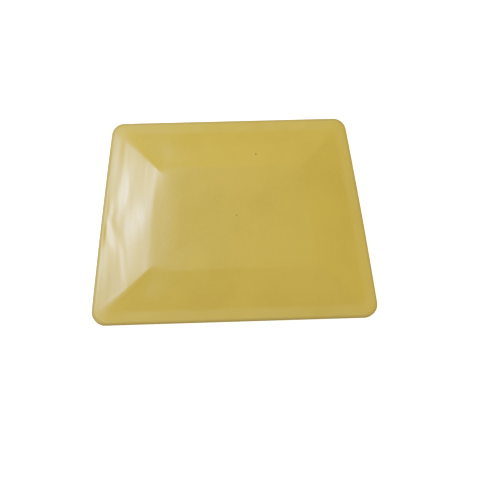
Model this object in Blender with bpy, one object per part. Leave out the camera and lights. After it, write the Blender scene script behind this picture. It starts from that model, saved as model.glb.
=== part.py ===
"""Raised pavement marker: a low bevelled road marker with a four-sided tapered plan.

A moulded plastic shell, open underneath, is filled with a resin and sand casting that
keys round the shell's ribs.  A glass-fibre mat lies in the casting's underside, and a
coat of bonded grit closes the base.  Nothing moves.

Metres, +Z up.  The origin is the centre of the resting face, and the wide side faces -Y.
"""

import math

import bmesh
import bpy

NAME = "raised_pavement_marker"

# Plan of the shell, with the sides carried on to sharp corners
WIDE_SIDE = 0.1030
NARROW_SIDE = 0.0841
DEPTH = 0.0731
CORNER_RADIUS = 0.0046
ARC_STEPS = 6

# Section of the shell, from the outer edge inwards
RIM_HEIGHT = 0.0030
EDGE_RADIUS = 0.0009
EDGE_STEPS = 4
FACETS = (
    # how far in the facet ends, its rise, plan corner radius at its end
    (0.0046, 0.00075, 0.0028),
    (0.0096, 0.00200, 0.0018),
    (0.0180, 0.00225, 0.0012),
)
WALL = 0.0018
RIM_LAND = 0.0032

# Layers under the shell
GAP = 0.0003
GRIT_PROUD = 0.0003
GRIT_THICKNESS = 0.0006
MAT_THICKNESS = 0.0006
MAT_INSET = 0.0095

# Ribs under the shell's roof, which the casting keys round
RIB_THICKNESS = 0.0016
RIB_FOOT = 0.0030
RIBS_ALONG_X = (-0.0165, 0.0, 0.0165)
RIBS_ALONG_Y = (-0.0300, -0.0100, 0.0100, 0.0300)

SHELL_FOOT = GRIT_PROUD
CASTING_FOOT = GRIT_THICKNESS + GAP
OVERSHOOT = 0.0020

SIDE_SLOPE = (WIDE_SIDE - NARROW_SIDE) / (2 * DEPTH)
SIDE_LEAN = math.atan(SIDE_SLOPE)


def clear_scene():
    """Remove whatever the open scene holds."""
    for old in list(bpy.data.objects):
        bpy.data.objects.remove(old, do_unlink=True)


def make_collection(name):
    """A new collection under the scene's own."""
    collection = bpy.data.collections.new(name)
    bpy.context.scene.collection.children.link(collection)
    return collection


def plan_corner(inset, side_x, side_y):
    """A sharp corner of the plan after every side has moved inwards by inset."""
    y = side_y * (DEPTH / 2 - inset)
    half_width = WIDE_SIDE / 2 - SIDE_SLOPE * (y + DEPTH / 2) - inset / math.cos(SIDE_LEAN)
    return side_x * half_width, y


def corner_radius(inset):
    """Plan corner radius at an inset, straight lines between the facets' ends."""
    start, start_radius = 0.0, CORNER_RADIUS
    for end, _, end_radius in FACETS:
        if inset <= end:
            share = (inset - start) / (end - start)
            return start_radius + (end_radius - start_radius) * share
        start, start_radius = end, end_radius
    return start_radius


def plan_ring(inset, z):
    """Points round the rounded four-sided plan at an inset, anticlockwise from above."""
    radius = corner_radius(inset)
    quarter = math.pi / 2
    corners = (
        (1, -1, -quarter, SIDE_LEAN),
        (1, 1, SIDE_LEAN, quarter),
        (-1, 1, quarter, math.pi - SIDE_LEAN),
        (-1, -1, math.pi - SIDE_LEAN, 3 * quarter),
    )
    points = []
    for side_x, side_y, first, last in corners:
        centre_x, centre_y = plan_corner(inset + radius, side_x, side_y)
        for step in range(ARC_STEPS + 1):
            angle = first + (last - first) * step / ARC_STEPS
            x = centre_x + radius * math.cos(angle)
            y = centre_y + radius * math.sin(angle)
            points.append((x, y, z))
    return points


def roof_height(inset):
    """Height of the shell's outer surface above the resting face, at an inset."""
    start, height = 0.0, SHELL_FOOT + RIM_HEIGHT
    for end, rise, _ in FACETS:
        if inset <= end:
            return height + rise * (inset - start) / (end - start)
        start, height = end, height + rise
    return height


def outer_profile():
    """Inset and height pairs up the shell: wall, rounded top edge, then the facets."""
    first_end, first_rise, _ = FACETS[0]
    turn = math.pi / 2 - math.atan2(first_rise, first_end)
    tangent = EDGE_RADIUS * math.tan(turn / 2)
    arc_foot = SHELL_FOOT + RIM_HEIGHT - tangent
    profile = [(0.0, SHELL_FOOT)]
    for step in range(EDGE_STEPS + 1):
        angle = turn * step / EDGE_STEPS
        inset = EDGE_RADIUS * (1 - math.cos(angle))
        profile.append((inset, arc_foot + EDGE_RADIUS * math.sin(angle)))
    for end, _, _ in FACETS:
        profile.append((end, roof_height(end)))
    return profile


def ceiling_profile(mouth, clearance):
    """Inset and height pairs up the hollow's roof, or up the casting that fills it."""
    insets = [mouth] + [end for end, _, _ in FACETS]
    return [(inset, roof_height(inset) - WALL - clearance) for inset in insets]


def loft(name, profile, collection):
    """A closed solid through the plan rings of a profile that runs from foot to top."""
    shape = bmesh.new()
    rings = []
    for inset, z in profile:
        rings.append([shape.verts.new(point) for point in plan_ring(inset, z)])
    for lower, upper in zip(rings, rings[1:]):
        for here in range(len(lower)):
            after = (here + 1) % len(lower)
            shape.faces.new((lower[here], lower[after], upper[after], upper[here]))
    shape.faces.new(rings[-1])
    shape.faces.new(list(reversed(rings[0])))
    return add_object(name, shape, collection)


def block(name, size, centre, collection):
    """A box with its size in the mesh, so the object needs no scale."""
    shape = bmesh.new()
    bmesh.ops.create_cube(shape, size=1.0)
    bmesh.ops.scale(shape, vec=size, verts=shape.verts)
    solid = add_object(name, shape, collection)
    solid.location = centre
    return solid


def add_object(name, shape, collection):
    """Turn a bmesh into an object in a collection."""
    mesh = bpy.data.meshes.new(name)
    shape.to_mesh(mesh)
    shape.free()
    solid = bpy.data.objects.new(name, mesh)
    collection.objects.link(solid)
    return solid


def hide_cutter(cutter):
    """Show a cutter as a wire outline only."""
    cutter.display_type = "WIRE"
    cutter.hide_render = True


def cut(solid, cutter):
    """Take a cutter's shape out of a solid."""
    modifier = solid.modifiers.new(cutter.name, "BOOLEAN")
    modifier.operation = "DIFFERENCE"
    modifier.solver = "EXACT"
    modifier.object = cutter


def set_material(solid, name, colour, roughness):
    """Give a solid its own non-metallic Principled material."""
    material = bpy.data.materials.new(name)
    material.use_nodes = True
    shader = material.node_tree.nodes["Principled BSDF"]
    shader.inputs["Base Color"].default_value = (*colour, 1.0)
    shader.inputs["Roughness"].default_value = roughness
    shader.inputs["Metallic"].default_value = 0.0
    solid.data.materials.append(material)


def shade(solid, angle_degrees):
    """Shade smooth, with edges sharper than the angle kept sharp."""
    solid.data.shade_smooth()
    solid.data.set_sharp_from_angle(angle=math.radians(angle_degrees))


def rib_blocks(name, clearance, collection):
    """The ribs as boxes, grown on every side by a clearance."""
    thickness = RIB_THICKNESS + 2 * clearance
    foot = RIB_FOOT - clearance
    height = roof_height(DEPTH / 2) + OVERSHOOT - foot
    middle = foot + height / 2
    length_x = WIDE_SIDE + OVERSHOOT
    length_y = DEPTH + OVERSHOOT
    blocks = []
    for number, y in enumerate(RIBS_ALONG_X, start=1):
        size = (length_x, thickness, height)
        blocks.append(block(f"{name}_x_{number}", size, (0.0, y, middle), collection))
    for number, x in enumerate(RIBS_ALONG_Y, start=1):
        size = (thickness, length_y, height)
        blocks.append(block(f"{name}_y_{number}", size, (x, 0.0, middle), collection))
    for rib in blocks:
        hide_cutter(rib)
    return blocks


def make_shell(parts, cutters):
    """The moulded shell: bevelled outside, hollow and ribbed underneath."""
    hollow_profile = [(RIM_LAND, SHELL_FOOT - OVERSHOOT)] + ceiling_profile(RIM_LAND, 0.0)
    hollow = loft("hollow_cutter", hollow_profile, cutters)
    hide_cutter(hollow)
    for rib in rib_blocks("shell_rib", 0.0, cutters):
        cut(hollow, rib)
    shell = loft("top_shell", outer_profile(), parts)
    cut(shell, hollow)
    shade(shell, 30)
    set_material(shell, "yellow_plastic", (0.56, 0.40, 0.088), 0.38)


def make_casting(parts, cutters):
    """The resin and sand casting that fills the hollow, slotted where the ribs stand in it."""
    edge = RIM_LAND + GAP
    casting = loft("potting_fill", [(edge, CASTING_FOOT)] + ceiling_profile(edge, GAP), parts)
    for rib in rib_blocks("casting_slot", GAP, cutters):
        cut(casting, rib)
    pocket_top = CASTING_FOOT + MAT_THICKNESS + GAP
    pocket_inset = MAT_INSET - GAP
    pocket_profile = [(pocket_inset, CASTING_FOOT - OVERSHOOT), (pocket_inset, pocket_top)]
    pocket = loft("mat_pocket_cutter", pocket_profile, cutters)
    hide_cutter(pocket)
    cut(casting, pocket)
    shade(casting, 30)
    set_material(casting, "sanded_resin", (0.33, 0.29, 0.23), 0.75)


def make_mat(parts):
    """The glass-fibre mat let into the underside of the casting."""
    profile = [(MAT_INSET, CASTING_FOOT), (MAT_INSET, CASTING_FOOT + MAT_THICKNESS)]
    mat = loft("glass_mat", profile, parts)
    shade(mat, 30)
    set_material(mat, "glass_fibre", (0.66, 0.68, 0.60), 0.55)


def make_grit_coat(parts):
    """The coat of bonded grit that the marker rests on, a little proud of the rim."""
    edge = RIM_LAND + GAP
    coat = loft("grit_coat", [(edge, 0.0), (edge, GRIT_THICKNESS)], parts)
    shade(coat, 30)
    set_material(coat, "bonded_grit", (0.40, 0.35, 0.27), 0.85)


def main():
    clear_scene()
    parts = make_collection(NAME)
    cutters = make_collection("cutters")
    make_shell(parts, cutters)
    make_casting(parts, cutters)
    make_mat(parts)
    make_grit_coat(parts)


main()
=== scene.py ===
"""The look of the raised pavement marker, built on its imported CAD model."""

import math

import bmesh
import bpy
import numpy as np
from mathutils import Matrix, Vector


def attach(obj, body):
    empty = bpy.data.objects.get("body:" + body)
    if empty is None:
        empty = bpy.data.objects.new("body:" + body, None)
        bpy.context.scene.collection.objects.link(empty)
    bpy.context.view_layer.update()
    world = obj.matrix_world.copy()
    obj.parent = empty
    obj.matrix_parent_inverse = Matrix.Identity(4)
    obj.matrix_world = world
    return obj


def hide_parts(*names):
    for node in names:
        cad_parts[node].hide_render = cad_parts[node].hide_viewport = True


MM = 0.001

# Plan of the shell in mm, with the sides carried on to sharp corners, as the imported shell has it
WIDE_SIDE = 103.0
NARROW_SIDE = 84.1
DEPTH = 73.1
SIDE_SLOPE = (WIDE_SIDE - NARROW_SIDE) / (2 * DEPTH)
SIDE_LEAN = math.atan(SIDE_SLOPE)
# Insets from the outline at which the facets end
RIM_STRIP_END = 4.6
STEEP_END = 9.6
PLATEAU_INSET = 18.0
# Insets from the outline, and the plan corner radius at each
CORNER_INSETS = (0.0, RIM_STRIP_END, STEEP_END, PLATEAU_INSET, 40.0)
CORNER_RADII = (4.6, 2.8, 1.2, 0.6, 0.5)

# Section of the shell in mm: rim strip, steep facet, upper facet, flat top
SHELL_FOOT = 0.3
RIM_HEIGHT = 3.0
EDGE_RADIUS = 0.7
PLATEAU_RISE = 5.0
RIM_SLOPE = 0.188
UPPER_SLOPE = 0.287
# half the width over which each slope runs into the next
PLAIN_SOFTNESS = (0.8, 0.8, 0.9)
RIGHT_SOFTNESS = (1.2, 2.0, 3.6)
# how far in the separate section of each side is worked out
SECTION_END = PLATEAU_INSET + 4.0
SECTION_STEPS = 1101

# Mesh fineness, with lengths in mm
ARC_STEPS = 12
SIDE_STEPS = (100, 73, 84, 73)  # near, right, far, left
EDGE_RINGS = 7
BEVEL_SPACING = 0.25
PLATEAU_SPACING = 1.3
PLATEAU_LAST = 34.5

# Hollow, ribs and base coat under the shell in mm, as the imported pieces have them, but with
# a ceiling 0.15 mm lower, which still clears the casting
WALL = 1.95
RIM_LAND = 3.2
BELOW = 2.0  # how far cutting shapes run past what they cut
FACET_RISES = ((RIM_STRIP_END, 0.75), (STEEP_END, 2.75), (PLATEAU_INSET, PLATEAU_RISE))
RIB_THICKNESS = 1.6
RIB_FOOT = 3.0
RIBS_ALONG_X = (-16.5, 0.0, 16.5)
RIBS_ALONG_Y = (-30.0, -10.0, 10.0, 30.0)
COAT_INSET = 3.5
COAT_TOP = 0.6

# Grains on the underside in mm
GRAIN_STEP = 0.4
GRAIN_COUNT = 9000
GRAIN_RADII = (0.35, 0.85)
GRAIN_RELIEF = 0.28
GRAIN_TALLNESS = (0.45, 1.0)
GRAIN_SEED = 7
# extra rows near the coat's two ends, for its rounded corners: shares of a step from the end
CORNER_ROWS = (0.1, 0.3, 0.6)

# How far in mm the middle of each side stands out: near, right, far, left
SIDE_BOW = (0.0, 0.25, 0.0, 0.20)

# Section of the left side, which is softer than the others: slopes, the insets in mm where
# they change, and half the width of each change
LEFT_SLOPES = (0.185, 0.235, 0.285, 0.315, 0.0)
LEFT_BREAKS = (2.0, 5.5, 8.0, PLATEAU_INSET + 1.1)
LEFT_SOFTNESS = (1.2, 1.0, 1.2, 2.3)

# How far in mm past its hips a side's own section reaches
HIP_FADE = 17.0

# The flat top sinks a little towards the left bevel, most at the shoulder between them, and
# less at the far end; lengths in mm
SHOULDER_INSET = 19.15
SHOULDER_DROP = 1.25
SHOULDER_OUTWARDS = 14.0
SHOULDER_INWARDS = 11.5
SHOULDER_ROUNDING = 1.5
SHOULDER_FAR_SHARE = 0.72
SHOULDER_FAR_END = 18.0
SHOULDER_START = 0.9
SHOULDER_BUILD_UP = 17.0

# The left bevel drops towards its ends, with the square of the distance from its middle
CROWN = 0.0009
CROWN_MIDDLE = -4.5
CROWN_BUILD_UP = 13.0
CROWN_REACH = 20.0
CROWN_CUT_OFF = 6

# Where folds fade out in mm: at the left side, towards the middle of the top, and at the hips
FOLD_START = 0.9
FOLD_START_WIDTH = 1.2
FOLD_END = 38.0
FOLD_END_WIDTH = 14.0
FOLD_HIP_LEAN = 0.8
FOLD_HIP_MARGIN = 1.0
FOLD_HIP_WIDTH = 4.0

# Two small dark specks on the flat top: place and radius in mm
SPECKS = ((9.2, 23.1, 7.1, 0.33), (1.5, 0.7, 8.3, 0.26))

# Soft folds in the left bevel and the part of the flat top beside it, in mm: distance from
# the left side at the fold's middle, how that distance grows along +Y, the middle's place
# along Y, half length, half width, and size (positive is higher inwards and lower outwards)
FOLDS = (
    (6.7, 0.02, 10.5, 5.5, 2.1, 0.320),
    (10.3, 0.00, 9.0, 6.0, 2.2, 0.110),
    (4.6, 0.00, 3.0, 8.0, 1.6, 0.080),
    (12.8, 0.05, 0.0, 6.0, 4.8, 0.560),
    (21.2, 0.05, -1.0, 7.0, 3.8, 0.270),
    (6.8, 0.00, 1.0, 5.0, 2.4, 0.100),
    (16.2, 0.00, 18.5, 5.0, 2.6, -0.090),
    (18.3, 0.00, 9.0, 6.0, 1.5, -0.070),
    (25.5, 0.05, -3.0, 8.0, 3.5, 0.140),
    (12.5, 0.00, -15.5, 5.5, 3.4, 0.100),
    (6.5, 0.00, -18.0, 6.0, 2.5, -0.080),
    (1.6, 0.00, -23.0, 10.0, 3.2, -0.150),
    (1.3, 0.00, 5.0, 9.0, 3.0, 0.230),
    (3.1, -0.45, -3.0, 4.5, 1.6, 0.210),
    (9.4, -0.24, -16.0, 8.0, 0.9, 0.050),
    (4.5, 0.00, 26.5, 4.0, 1.0, -0.040),
    (5.2, 0.00, 5.0, 1.6, 0.8, -0.020),
    (3.0, 0.00, 4.5, 2.5, 0.8, 0.060),
    (5.6, -0.30, -6.0, 4.0, 1.0, -0.010),
)

# Lights, in degrees and metres: a cool window, and an even warm surround that changes a
# little along X and Y
WINDOW_AZIMUTH = 157.5
WINDOW_ZENITH = 42.5
WINDOW_DISTANCE = 0.45
WINDOW_SIZE = (0.04, 0.06)
WINDOW_RADIANCE = (72.0, 102.0, 180.0)
SURROUND = (0.865, 0.76, 0.45)
SURROUND_ALONG_X = (0.08, 0.09, -0.04)
SURROUND_ALONG_Y = (0.06, 0.04, -0.05)
# how much of the surround is left straight overhead, and how high up it starts to fade
OVERHEAD_SHARE = 0.6
OVERHEAD_START = 0.80
# brightness of the backdrop and of the floor where the camera sees them, and the floor
BACKDROP_GLOW = 1.05
FLOOR_GLOW = 0.85
FLOOR_SIZE = 6.0
FLOOR_GREY = 0.55

# Camera: place and the point it looks at in mm, lens and sensor in mm, roll in degrees
CAMERA_PLACE = (-12.8, -76.1, 427.9)
CAMERA_TARGET = (2.55, -8.37, 3.0)
CAMERA_ROLL = -1.95
CAMERA_LENS = 89.1
CAMERA_SENSOR = 36.0


def smooth_step(x):
    """0 below 0, 1 above 1, and smooth between."""
    x = np.clip(x, 0.0, 1.0)
    return x * x * (3 - 2 * x)


def plan_corner(inset, side_x, side_y):
    """A sharp corner of the plan after every side has moved inwards by inset."""
    y = side_y * (DEPTH / 2 - inset)
    half_width = WIDE_SIDE / 2 - SIDE_SLOPE * (y + DEPTH / 2) - inset / math.cos(SIDE_LEAN)
    return np.array((side_x * half_width, y))


def plan_ring(inset):
    """Points round the plan at an inset, anticlockwise from the left end of the near side."""
    radius = float(np.interp(inset, CORNER_INSETS, CORNER_RADII))
    quarter = math.pi / 2
    corners = (
        (-1, -1, math.pi - SIDE_LEAN, 3 * quarter),
        (1, -1, -quarter, SIDE_LEAN),
        (1, 1, SIDE_LEAN, quarter),
        (-1, 1, quarter, math.pi - SIDE_LEAN),
    )
    arcs = []
    for side_x, side_y, first, last in corners:
        centre = plan_corner(inset + radius, side_x, side_y)
        angles = np.linspace(first, last, ARC_STEPS + 1)
        arcs.append(centre + radius * np.stack((np.cos(angles), np.sin(angles)), axis=1))
    points = []
    for corner, arc in enumerate(arcs):
        start = arc[-1]
        chord = arcs[(corner + 1) % 4][0] - start
        along = np.linspace(0.0, 1.0, SIDE_STEPS[corner] + 1)[1:-1, None]
        outward = np.array((chord[1], -chord[0])) / np.hypot(*chord)
        bow = SIDE_BOW[corner] * 4 * along * (1 - along)
        points.append(arc)
        points.append(start + chord * along + outward * bow)
    return np.concatenate(points)


def flat_ring(inset, z):
    """A level ring of points at an inset, for a loft."""
    points = plan_ring(inset)
    return inset, np.column_stack((points, np.full(len(points), z)))


def rise_along(insets, breaks, slopes, softness):
    """Height gained from the outline inwards, for slopes that change softly at breaks."""
    fine = np.linspace(0.0, SECTION_END, SECTION_STEPS)
    slope = np.full_like(fine, slopes[0])
    for place, before, after, soft in zip(breaks, slopes, slopes[1:], softness):
        slope += (after - before) * smooth_step((fine - place + soft) / (2 * soft))
    steps = (slope[1:] + slope[:-1]) / 2
    height = np.concatenate(([0.0], np.cumsum(steps) * (fine[1] - fine[0])))
    return np.interp(insets, fine, height)


def plain_rise(insets, softness):
    """The section of the near, right and far sides: rim strip, steep facet, upper facet."""
    upper_rise = (PLATEAU_INSET - STEEP_END) * UPPER_SLOPE
    steep_rise = PLATEAU_RISE - RIM_STRIP_END * RIM_SLOPE - upper_rise
    slopes = (RIM_SLOPE, steep_rise / (STEEP_END - RIM_STRIP_END), UPPER_SLOPE, 0.0)
    return rise_along(insets, (RIM_STRIP_END, STEEP_END, PLATEAU_INSET), slopes, softness)


def left_rise(insets):
    """The section of the left side, which ends at the same height as the others."""
    rise = rise_along(insets, LEFT_BREAKS, LEFT_SLOPES, LEFT_SOFTNESS)
    full = rise_along(np.array((SECTION_END,)), LEFT_BREAKS, LEFT_SLOPES, LEFT_SOFTNESS)
    return rise * PLATEAU_RISE / full


def side_distance(points, side):
    """Distance of plan points from the line of the left side, -1, or the right side, 1."""
    half_width = WIDE_SIDE / 2 - SIDE_SLOPE * (points[:, 1] + DEPTH / 2)
    return (half_width - side * points[:, 0]) * math.cos(SIDE_LEAN)


def side_share(points, side):
    """How far points take a side's own section: 1 on it, less and less past its hips."""
    from_hip = DEPTH / 2 - np.abs(points[:, 1]) - side_distance(points, side)
    return smooth_step(1.0 + from_hip / HIP_FADE)


def shoulder_sag(points, inset):
    """Heights in mm by which the surface sinks round the shoulder of the left bevel."""
    away = side_distance(points, -1) - SHOULDER_INSET
    reach = np.where(away < 0, SHOULDER_OUTWARDS, SHOULDER_INWARDS)
    rounded = np.sqrt(away**2 + SHOULDER_ROUNDING**2) - SHOULDER_ROUNDING
    far = smooth_step(points[:, 1] / SHOULDER_FAR_END)
    lengthways = 1.0 - (1.0 - SHOULDER_FAR_SHARE) * far
    build_up = smooth_step((inset - SHOULDER_START) / SHOULDER_BUILD_UP)
    return -SHOULDER_DROP * np.exp(-rounded / reach) * lengthways * build_up


def crown_drop(points, inset):
    """Heights in mm by which the ends of the left bevel drop."""
    drop = CROWN * (points[:, 1] - CROWN_MIDDLE) ** 2
    build_up = min(1.0, (inset - EDGE_RADIUS) / CROWN_BUILD_UP)
    reach = np.exp(-((side_distance(points, -1) / CROWN_REACH) ** CROWN_CUT_OFF))
    return -drop * build_up * reach


def fold_heights(points):
    """Heights in mm of the soft folds."""
    y = points[:, 1]
    inward = side_distance(points, -1)
    hip = DEPTH / 2 - np.abs(y) - FOLD_HIP_MARGIN - FOLD_HIP_LEAN * inward
    present = smooth_step((inward - FOLD_START) / FOLD_START_WIDTH)
    present = present * smooth_step((FOLD_END - inward) / FOLD_END_WIDTH)
    present = present * smooth_step(hip / FOLD_HIP_WIDTH)
    heights = np.zeros_like(y)
    for middle, lean, place, half_length, half_width, size in FOLDS:
        across = (inward - middle - lean * (y - place)) / half_width
        along = (y - place) / half_length
        heights = heights + size * across * np.exp(-0.5 * (across**2 + along**2))
    return present * heights


def settle(points, inset):
    """Small departures of a moulding from its drawn form, as heights in mm."""
    return shoulder_sag(points, inset) + crown_drop(points, inset) + fold_heights(points)


def shell_rings():
    """Rings of points from the foot of the shell's wall to the middle of its top."""
    turn = math.pi / 2 - math.atan(RIM_SLOPE)
    tangent = EDGE_RADIUS * math.tan(turn / 2)
    arc_foot = SHELL_FOOT + RIM_HEIGHT - tangent
    angles = np.linspace(0.0, turn, EDGE_RINGS)
    rings = [flat_ring(0.0, SHELL_FOOT), flat_ring(0.0, (SHELL_FOOT + arc_foot) / 2)]
    for angle in angles:
        inset = EDGE_RADIUS * (1 - math.cos(angle))
        rings.append(flat_ring(inset, arc_foot + EDGE_RADIUS * math.sin(angle)))
    edge_end = EDGE_RADIUS * (1 - math.cos(turn))
    bevel = np.arange(edge_end + BEVEL_SPACING, SECTION_END, BEVEL_SPACING)
    plateau = np.arange(bevel[-1] + PLATEAU_SPACING, PLATEAU_LAST, PLATEAU_SPACING)
    insets = np.concatenate((bevel, plateau))
    plain = plain_rise(insets, PLAIN_SOFTNESS)
    right = plain_rise(insets, RIGHT_SOFTNESS)
    left = left_rise(insets)
    base = SHELL_FOOT + RIM_HEIGHT
    for number, inset in enumerate(insets):
        points = plan_ring(inset)
        rise = plain[number] + (right[number] - plain[number]) * side_share(points, 1)
        rise = rise + (left[number] - rise) * side_share(points, -1)
        height = base + rise + settle(points, inset)
        rings.append((inset, np.column_stack((points, height))))
    return rings


def new_object(name, shape):
    """Turn a bmesh into an object in the scene."""
    mesh = bpy.data.meshes.new(name)
    shape.to_mesh(mesh)
    shape.free()
    made = bpy.data.objects.new(name, mesh)
    bpy.context.scene.collection.objects.link(made)
    return made


def loft(name, rings):
    """A closed solid through rings of points in mm, from the lowest ring to the highest."""
    shape = bmesh.new()
    layer = shape.verts.layers.float.new("inset_mm")
    made = []
    for inset, points in rings:
        ring = []
        for point in points:
            vert = shape.verts.new(point * MM)
            vert[layer] = inset
            ring.append(vert)
        made.append(ring)
    for lower, upper in zip(made, made[1:]):
        for here in range(len(lower)):
            after = (here + 1) % len(lower)
            shape.faces.new((lower[here], lower[after], upper[after], upper[here]))
    shape.faces.new(made[-1])
    shape.faces.new(list(reversed(made[0])))
    return new_object(name, shape)


def block(name, size, centre):
    """A box with its size and place in mm."""
    shape = bmesh.new()
    bmesh.ops.create_cube(shape, size=1.0)
    bmesh.ops.scale(shape, vec=Vector(size) * MM, verts=shape.verts)
    bmesh.ops.translate(shape, vec=Vector(centre) * MM, verts=shape.verts)
    return new_object(name, shape)


def combine(solid, tools, operation):
    """Apply a Boolean with each tool to a solid, then remove the tools."""
    for tool in tools:
        modifier = solid.modifiers.new(tool.name, "BOOLEAN")
        modifier.operation = operation
        modifier.solver = "EXACT"
        modifier.object = tool
    bpy.context.view_layer.update()
    evaluated = solid.evaluated_get(bpy.context.evaluated_depsgraph_get())
    mesh = bpy.data.meshes.new_from_object(evaluated)
    solid.modifiers.clear()
    solid.data = mesh
    for tool in tools:
        bpy.data.objects.remove(tool, do_unlink=True)


def make_ribs():
    """The ribs under the shell's roof, as boxes that run past the hollow."""
    height = SHELL_FOOT + RIM_HEIGHT + PLATEAU_RISE + BELOW - RIB_FOOT
    middle = RIB_FOOT + height / 2
    ribs = []
    for y in RIBS_ALONG_X:
        ribs.append(block("rib", (WIDE_SIDE + BELOW, RIB_THICKNESS, height), (0.0, y, middle)))
    for x in RIBS_ALONG_Y:
        ribs.append(block("rib", (RIB_THICKNESS, DEPTH + BELOW, height), (x, 0.0, middle)))
    return ribs


def make_shell():
    """The moulded shell: bevelled outside, hollow and ribbed underneath."""
    base = SHELL_FOOT + RIM_HEIGHT
    mouth_rise = FACET_RISES[0][1] * RIM_LAND / FACET_RISES[0][0]
    ceiling = [flat_ring(RIM_LAND, SHELL_FOOT - BELOW)]
    for inset, rise in ((RIM_LAND, mouth_rise), *FACET_RISES):
        ceiling.append(flat_ring(inset, base + rise - WALL))
    hollow = loft("hollow", ceiling)
    combine(hollow, make_ribs(), "DIFFERENCE")
    shell = loft("marker_shell", shell_rings())
    combine(shell, [hollow], "DIFFERENCE")
    shell.data.shade_smooth()
    shell.data.set_sharp_from_angle(angle=math.radians(30))
    return shell


def coat_half_width(y):
    """Half the width of the base coat at a place along Y, with its rounded corners."""
    radius = float(np.interp(COAT_INSET, CORNER_INSETS, CORNER_RADII))
    near_x, near_y = plan_corner(COAT_INSET + radius, 1, -1)
    far_x, far_y = plan_corner(COAT_INSET + radius, 1, 1)
    tangent = radius * math.sin(SIDE_LEAN)
    edge_x, edge_y = plan_corner(COAT_INSET, 1, -1)
    straight = edge_x - SIDE_SLOPE * (y - edge_y)
    near = near_x + np.sqrt(np.clip(radius**2 - (y - near_y) ** 2, 0.0, None))
    far = far_x + np.sqrt(np.clip(radius**2 - (y - far_y) ** 2, 0.0, None))
    return np.where(y < near_y + tangent, near, np.where(y > far_y + tangent, far, straight))


def grain_heights(x, y):
    """How far grains stand out over rows of places: 0 in the resin, 1 at the tallest tip."""
    random = np.random.default_rng(GRAIN_SEED)
    heights = np.zeros_like(x)
    centres_x = random.uniform(x.min(), x.max(), GRAIN_COUNT)
    centres_y = random.uniform(y[0], y[-1], GRAIN_COUNT)
    radii = random.uniform(*GRAIN_RADII, GRAIN_COUNT)
    tallness = random.uniform(*GRAIN_TALLNESS, GRAIN_COUNT)
    for centre_x, centre_y, radius, tall in zip(centres_x, centres_y, radii, tallness):
        first, last = np.searchsorted(y, (centre_y - radius, centre_y + radius))
        rows = slice(first, last)
        away = ((x[rows] - centre_x) ** 2 + (y[rows, None] - centre_y) ** 2) / radius**2
        heights[rows] = np.maximum(heights[rows], tall * np.sqrt(np.clip(1.0 - away, 0.0, 1.0)))
    return heights / heights.max()


def make_grit_coat():
    """The bonded grit under the marker, with its grains as real relief."""
    reach = DEPTH / 2 - COAT_INSET
    middle = np.linspace(-reach, reach, round(2 * reach / GRAIN_STEP) + 1)
    corner = reach - GRAIN_STEP * np.array(CORNER_ROWS)
    y = np.unique(np.concatenate((middle, corner, -corner)))
    columns = round(WIDE_SIDE / GRAIN_STEP)
    x = coat_half_width(y)[:, None] * np.linspace(-1.0, 1.0, columns + 1)[None, :]
    lower = GRAIN_RELIEF * (1.0 - grain_heights(x, y))
    shape = bmesh.new()
    sheet = []
    for row, place in enumerate(y):
        line = []
        for column in range(columns + 1):
            line.append(shape.verts.new(Vector((x[row, column], place, lower[row, column])) * MM))
        sheet.append(line)
    for before, after in zip(sheet, sheet[1:]):
        for here in range(columns):
            shape.faces.new((before[here], after[here], after[here + 1], before[here + 1]))
    border = sheet[0] + [line[-1] for line in sheet[1:-1]] + sheet[-1][::-1]
    border += [line[0] for line in sheet[-2:0:-1]]
    upper = [shape.verts.new((vert.co.x, vert.co.y, COAT_TOP * MM)) for vert in border]
    for here in range(len(border)):
        after = (here + 1) % len(border)
        shape.faces.new((border[here], border[after], upper[after], upper[here]))
    shape.faces.new(upper)
    coat = new_object("grit_underside", shape)
    coat.data.shade_smooth()
    coat.data.set_sharp_from_angle(angle=math.radians(50))
    return coat


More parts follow.
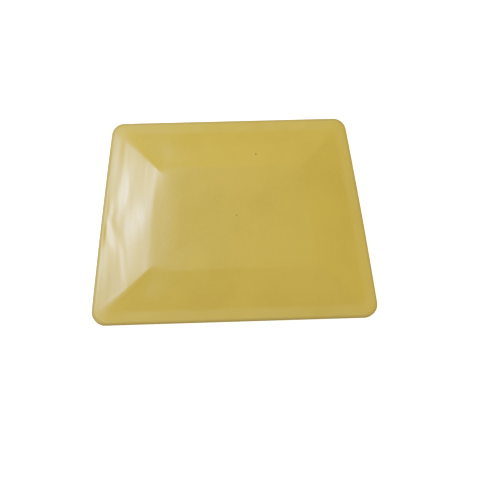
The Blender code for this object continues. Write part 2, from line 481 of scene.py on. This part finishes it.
class Look:
    """A Principled material with short calls for the nodes that feed it."""

    def __init__(self, name, roughness):
        self.material = bpy.data.materials.new(name)
        self.material.use_nodes = True
        self.tree = self.material.node_tree
        self.shader = self.tree.nodes["Principled BSDF"]
        self.shader.inputs["Roughness"].default_value = roughness
        self.place = self.node("ShaderNodeTexCoord").outputs["Object"]

    def node(self, kind):
        return self.tree.nodes.new(kind)

    def link(self, source, target):
        self.tree.links.new(source, target)

    def stretched(self, x, y, z):
        """Object coordinates in metres, multiplied along each axis."""
        node = self.node("ShaderNodeVectorMath")
        node.operation = "MULTIPLY"
        node.inputs[1].default_value = (x, y, z)
        self.link(self.place, node.inputs[0])
        return node.outputs[0]

    def noise(self, scale, detail=3.0, place=None):
        """Noise between 0 and 1, with scale in features for each metre of place."""
        node = self.node("ShaderNodeTexNoise")
        node.inputs["Scale"].default_value = scale
        node.inputs["Detail"].default_value = detail
        self.link(place or self.place, node.inputs["Vector"])
        return node.outputs["Fac"]

    def cells(self, scale, output="Color"):
        """Voronoi cells, with scale in cells for each metre."""
        node = self.node("ShaderNodeTexVoronoi")
        node.inputs["Scale"].default_value = scale
        self.link(self.place, node.inputs["Vector"])
        return node.outputs[output]

    def spread(self, value, low, high, to_low=0.0, to_high=1.0):
        """A value moved from one range to another, held at the ends."""
        node = self.node("ShaderNodeMapRange")
        node.interpolation_type = "SMOOTHSTEP"
        settings = (("From Min", low), ("From Max", high), ("To Min", to_low), ("To Max", to_high))
        for name, number in settings:
            node.inputs[name].default_value = number
        self.link(value, node.inputs["Value"])
        return node.outputs[0]

    def maths(self, operation, first, second):
        """Maths on two values, of which the second may be a number."""
        node = self.node("ShaderNodeMath")
        node.operation = operation
        self.link(first, node.inputs[0])
        if isinstance(second, (int, float)):
            node.inputs[1].default_value = second
        else:
            self.link(second, node.inputs[1])
        return node.outputs[0]

    def mixed(self, share, first, second):
        """A colour between two, each a tuple or a socket."""
        node = self.node("ShaderNodeMix")
        node.data_type = "RGBA"
        self.link(share, node.inputs["Factor"])
        for socket, colour in ((node.inputs["A"], first), (node.inputs["B"], second)):
            if isinstance(colour, tuple):
                socket.default_value = (*colour, 1.0)
            else:
                self.link(colour, socket)
        return node.outputs["Result"]

    def speck(self, x, y, z, radius):
        """1 inside a small ball at a place in mm, 0 outside."""
        node = self.node("ShaderNodeVectorMath")
        node.operation = "DISTANCE"
        node.inputs[1].default_value = (x * MM, y * MM, z * MM)
        self.link(self.place, node.inputs[0])
        return self.spread(node.outputs["Value"], 0.6 * radius * MM, 1.2 * radius * MM, 1.0, 0.0)

    def colour(self, source):
        self.link(source, self.shader.inputs["Base Color"])

    def roughness(self, source):
        self.link(source, self.shader.inputs["Roughness"])

    def bump(self, height, distance, before=None):
        """A bump of a height in mm, on top of another bump."""
        node = self.node("ShaderNodeBump")
        node.inputs["Strength"].default_value = 1.0
        node.inputs["Distance"].default_value = distance * MM
        self.link(height, node.inputs["Height"])
        if before is not None:
            self.link(before, node.inputs["Normal"])
        self.link(node.outputs["Normal"], self.shader.inputs["Normal"])
        return node.outputs["Normal"]


def yellow_plastic():
    """Dull yellow moulded plastic, with its rim strip painted paler and bluer as a painted
    reflection mixed with scuffing, its outer edge darkened by painted shade, and a fine moulded
    grain.
    """
    look = Look("yellow_plastic_look", 0.42)
    look.shader.inputs["IOR"].default_value = 1.6
    look.shader.inputs["Specular IOR Level"].default_value = 1.0
    inset = look.node("ShaderNodeAttribute")
    inset.attribute_name = "inset_mm"
    rim = look.spread(inset.outputs["Fac"], 3.2, 5.2, 1.0, 0.0)
    cloud = look.spread(look.noise(55.0, 4.0), 0.35, 0.65)
    fleck = look.spread(look.noise(900.0, 2.0), 0.35, 0.65)
    deep, light = (0.512, 0.371, 0.032), (0.542, 0.397, 0.040)
    # The paler, bluer rim colour on the next line is a painted reflection mixed with scuffing
    flecked, pale_scuff_and_sheen = (0.56, 0.42, 0.055), (0.555, 0.425, 0.090)
    # The darker edge colour on the next line is painted shade
    dirt, painted_edge_shade = (0.05, 0.035, 0.015), (0.36, 0.265, 0.04)
    body = look.mixed(cloud, deep, light)
    body = look.mixed(look.maths("MULTIPLY", fleck, 0.25), body, flecked)
    # The rim strip is painted paler and bluer: a painted reflection of the cool light, mottled by
    # noise as scuffing
    scuff_and_sheen_mottle = look.spread(look.noise(160.0, 4.0), 0.2, 0.8, 0.35, 0.85)
    scuff_and_sheen_share = look.maths("MULTIPLY", rim, scuff_and_sheen_mottle)
    body = look.mixed(scuff_and_sheen_share, body, pale_scuff_and_sheen)
    for x, y, z, radius in SPECKS:
        body = look.mixed(look.speck(x, y, z, radius), body, dirt)
    # The outer edge and the wall below it are painted darker: painted shade where the edge turns
    # from the light
    edge = look.spread(inset.outputs["Fac"], 0.5, 1.3, 1.0, 0.0)
    look.colour(look.mixed(look.maths("MULTIPLY", edge, 0.45), body, painted_edge_shade))
    along_y = look.stretched(1.0, 0.12, 1.0)
    polish = look.spread(look.noise(420.0, 4.0, along_y), 0.3, 0.7, 0.42, 0.46)
    look.roughness(look.maths("ADD", polish, look.maths("MULTIPLY", edge, 0.30)))
    lines = look.bump(look.noise(1600.0, 2.0, look.stretched(1.0, 0.05, 1.0)), 0.004)
    look.bump(look.noise(3200.0, 2.0), 0.010, lines)
    return look.material


def sanded_resin():
    """Grey-brown resin filled with sand."""
    look = Look("sanded_resin_look", 0.75)
    sand = look.cells(1500.0)
    tone = look.node("ShaderNodeRGBToBW")
    look.link(sand, tone.inputs[0])
    dark_sand, light_sand, resin = (0.24, 0.20, 0.15), (0.44, 0.39, 0.31), (0.27, 0.24, 0.20)
    body = look.mixed(tone.outputs[0], dark_sand, light_sand)
    body = look.mixed(look.spread(look.noise(80.0), 0.3, 0.7, 0.0, 0.4), body, resin)
    look.colour(body)
    look.roughness(look.spread(look.noise(900.0), 0.3, 0.7, 0.62, 0.85))
    look.bump(look.cells(1500.0, "Distance"), 0.12)
    return look.material


def glass_fibre():
    """Woven glass-fibre mat soaked in resin."""
    look = Look("glass_fibre_look", 0.5)
    strands = []
    for direction in ("X", "Y"):
        wave = look.node("ShaderNodeTexWave")
        wave.bands_direction = direction
        wave.inputs["Scale"].default_value = 160.0
        wave.inputs["Distortion"].default_value = 0.6
        wave.inputs["Detail"].default_value = 1.0
        look.link(look.place, wave.inputs["Vector"])
        strands.append(wave.outputs["Fac"])
    weave = look.maths("MAXIMUM", *strands)
    on_strand = look.spread(weave, 0.15, 0.75)
    resin, strand, soaked = (0.38, 0.36, 0.27), (0.70, 0.72, 0.65), (0.55, 0.53, 0.42)
    body = look.mixed(on_strand, resin, strand)
    body = look.mixed(look.spread(look.noise(120.0), 0.4, 0.8, 0.0, 0.5), body, soaked)
    look.colour(body)
    look.roughness(look.spread(look.noise(2500.0), 0.3, 0.7, 0.42, 0.65))
    look.bump(weave, 0.15)
    return look.material


def bonded_grit():
    """Sand grains set in dark resin."""
    look = Look("bonded_grit_look", 0.85)
    tone = look.node("ShaderNodeRGBToBW")
    look.link(look.cells(950.0), tone.inputs[0])
    dark_grain, light_grain = (0.30, 0.24, 0.17), (0.58, 0.53, 0.44)
    resin, dust = (0.12, 0.095, 0.07), (0.46, 0.42, 0.36)
    grains = look.mixed(tone.outputs[0], dark_grain, light_grain)
    split = look.node("ShaderNodeSeparateXYZ")
    look.link(look.place, split.inputs[0])
    between = look.spread(split.outputs["Z"], 0.10 * MM, GRAIN_RELIEF * MM)
    body = look.mixed(between, grains, resin)
    body = look.mixed(look.spread(look.noise(60.0), 0.45, 0.75, 0.0, 0.35), body, dust)
    look.colour(body)
    look.roughness(look.spread(look.noise(2000.0), 0.3, 0.7, 0.65, 0.95))
    look.bump(look.noise(6000.0, 4.0), 0.05)
    return look.material


def make_camera():
    """A long lens nearly straight above, as such a plate is photographed on a table."""
    data = bpy.data.cameras.new("camera")
    data.sensor_width = CAMERA_SENSOR
    data.lens = CAMERA_LENS
    data.clip_start = 0.01
    camera = bpy.data.objects.new("camera", data)
    bpy.context.scene.collection.objects.link(camera)
    place = Vector(CAMERA_PLACE) * MM
    roll = math.radians(CAMERA_ROLL)
    back = (place - Vector(CAMERA_TARGET) * MM).normalized()
    right = Vector((0.0, 1.0, 0.0)).cross(back).normalized()
    axes = Matrix((right, back.cross(right), back)).transposed().to_4x4()
    camera.matrix_world = Matrix.Translation(place) @ axes @ Matrix.Rotation(roll, 4, "Z")
    bpy.context.scene.camera = camera


def make_window():
    """A soft rectangular light aimed at the marker, set by the brightness of its face."""
    data = bpy.data.lights.new("window", "AREA")
    data.shape = "RECTANGLE"
    width, height = WINDOW_SIZE
    data.size = width
    data.size_y = height
    peak = max(WINDOW_RADIANCE)
    data.color = [value / peak for value in WINDOW_RADIANCE]
    data.energy = peak * math.pi * width * height
    window = bpy.data.objects.new("window", data)
    azimuth = math.radians(WINDOW_AZIMUTH)
    zenith = math.radians(WINDOW_ZENITH)
    sideways = math.sin(zenith)
    out = Vector((math.cos(azimuth) * sideways, math.sin(azimuth) * sideways, math.cos(zenith)))
    window.location = out * WINDOW_DISTANCE
    window.rotation_euler = (-out).to_track_quat("-Z", "Y").to_euler()
    bpy.context.scene.collection.objects.link(window)


def make_world():
    """An even warm surround that reads as plain white where the camera sees it."""
    world = bpy.data.worlds.new("surround")
    bpy.context.scene.world = world
    world.use_nodes = True
    tree = world.node_tree
    tree.nodes.clear()
    output = tree.nodes.new("ShaderNodeOutputWorld")
    mix = tree.nodes.new("ShaderNodeMixShader")
    path = tree.nodes.new("ShaderNodeLightPath")
    lit = tree.nodes.new("ShaderNodeBackground")
    direction = tree.nodes.new("ShaderNodeTexCoord")
    split = tree.nodes.new("ShaderNodeSeparateXYZ")
    tree.links.new(direction.outputs["Generated"], split.inputs[0])
    colour = None
    for axis, change in (("X", SURROUND_ALONG_X), ("Y", SURROUND_ALONG_Y)):
        step = tree.nodes.new("ShaderNodeVectorMath")
        step.operation = "MULTIPLY_ADD"
        step.inputs[1].default_value = change
        step.inputs[2].default_value = SURROUND
        tree.links.new(split.outputs[axis], step.inputs[0])
        if colour is not None:
            tree.links.new(colour, step.inputs[2])
        colour = step.outputs[0]
    tree.links.new(colour, lit.inputs["Color"])
    overhead = tree.nodes.new("ShaderNodeMapRange")
    overhead.interpolation_type = "SMOOTHSTEP"
    overhead.inputs["From Min"].default_value = OVERHEAD_START
    overhead.inputs["From Max"].default_value = 1.0
    overhead.inputs["To Min"].default_value = 1.0
    overhead.inputs["To Max"].default_value = OVERHEAD_SHARE
    tree.links.new(split.outputs["Z"], overhead.inputs["Value"])
    tree.links.new(overhead.outputs[0], lit.inputs["Strength"])
    seen = tree.nodes.new("ShaderNodeBackground")
    seen.inputs["Color"].default_value = (1.0, 1.0, 1.0, 1.0)
    seen.inputs["Strength"].default_value = BACKDROP_GLOW
    tree.links.new(path.outputs["Is Camera Ray"], mix.inputs["Fac"])
    tree.links.new(lit.outputs["Background"], mix.inputs[1])
    tree.links.new(seen.outputs["Background"], mix.inputs[2])
    tree.links.new(mix.outputs["Shader"], output.inputs["Surface"])


def make_floor():
    """The plain white floor that the marker lies on."""
    bpy.ops.mesh.primitive_plane_add(size=FLOOR_SIZE, location=(0.0, 0.0, 0.0))
    floor = bpy.context.object
    floor.name = "floor"
    material = bpy.data.materials.new("floor_white")
    material.use_nodes = True
    tree = material.node_tree
    shader = tree.nodes["Principled BSDF"]
    shader.inputs["Base Color"].default_value = (FLOOR_GREY, FLOOR_GREY, FLOOR_GREY, 1.0)
    shader.inputs["Roughness"].default_value = 1.0
    shader.inputs["Specular IOR Level"].default_value = 0.0
    glow = tree.nodes.new("ShaderNodeEmission")
    path = tree.nodes.new("ShaderNodeLightPath")
    scale = tree.nodes.new("ShaderNodeMath")
    scale.operation = "MULTIPLY"
    scale.inputs[1].default_value = FLOOR_GLOW
    tree.links.new(path.outputs["Is Camera Ray"], scale.inputs[0])
    tree.links.new(scale.outputs[0], glow.inputs["Strength"])
    add = tree.nodes.new("ShaderNodeAddShader")
    tree.links.new(shader.outputs["BSDF"], add.inputs[0])
    tree.links.new(glow.outputs["Emission"], add.inputs[1])
    tree.links.new(add.outputs["Shader"], tree.nodes["Material Output"].inputs["Surface"])
    floor.data.materials.append(material)


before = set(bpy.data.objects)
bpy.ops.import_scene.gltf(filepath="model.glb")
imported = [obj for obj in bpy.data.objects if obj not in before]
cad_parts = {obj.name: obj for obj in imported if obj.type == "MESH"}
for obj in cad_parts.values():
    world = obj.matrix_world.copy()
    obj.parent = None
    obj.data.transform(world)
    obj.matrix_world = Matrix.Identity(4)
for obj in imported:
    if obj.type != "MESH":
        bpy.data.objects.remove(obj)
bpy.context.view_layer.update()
make_camera()
make_world()
make_floor()
make_window()

shell = make_shell()
shell.data.materials.clear()
shell.data.materials.append(yellow_plastic())
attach(shell, "root")
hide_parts("top_shell")

grit = make_grit_coat()
grit.data.materials.clear()
grit.data.materials.append(bonded_grit())
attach(grit, "root")
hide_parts("grit_coat")

for node, material in (("potting_fill", sanded_resin()), ("glass_mat", glass_fibre())):
    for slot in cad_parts[node].material_slots:
        slot.material = material

bpy.context.scene.view_settings.view_transform = "Standard"
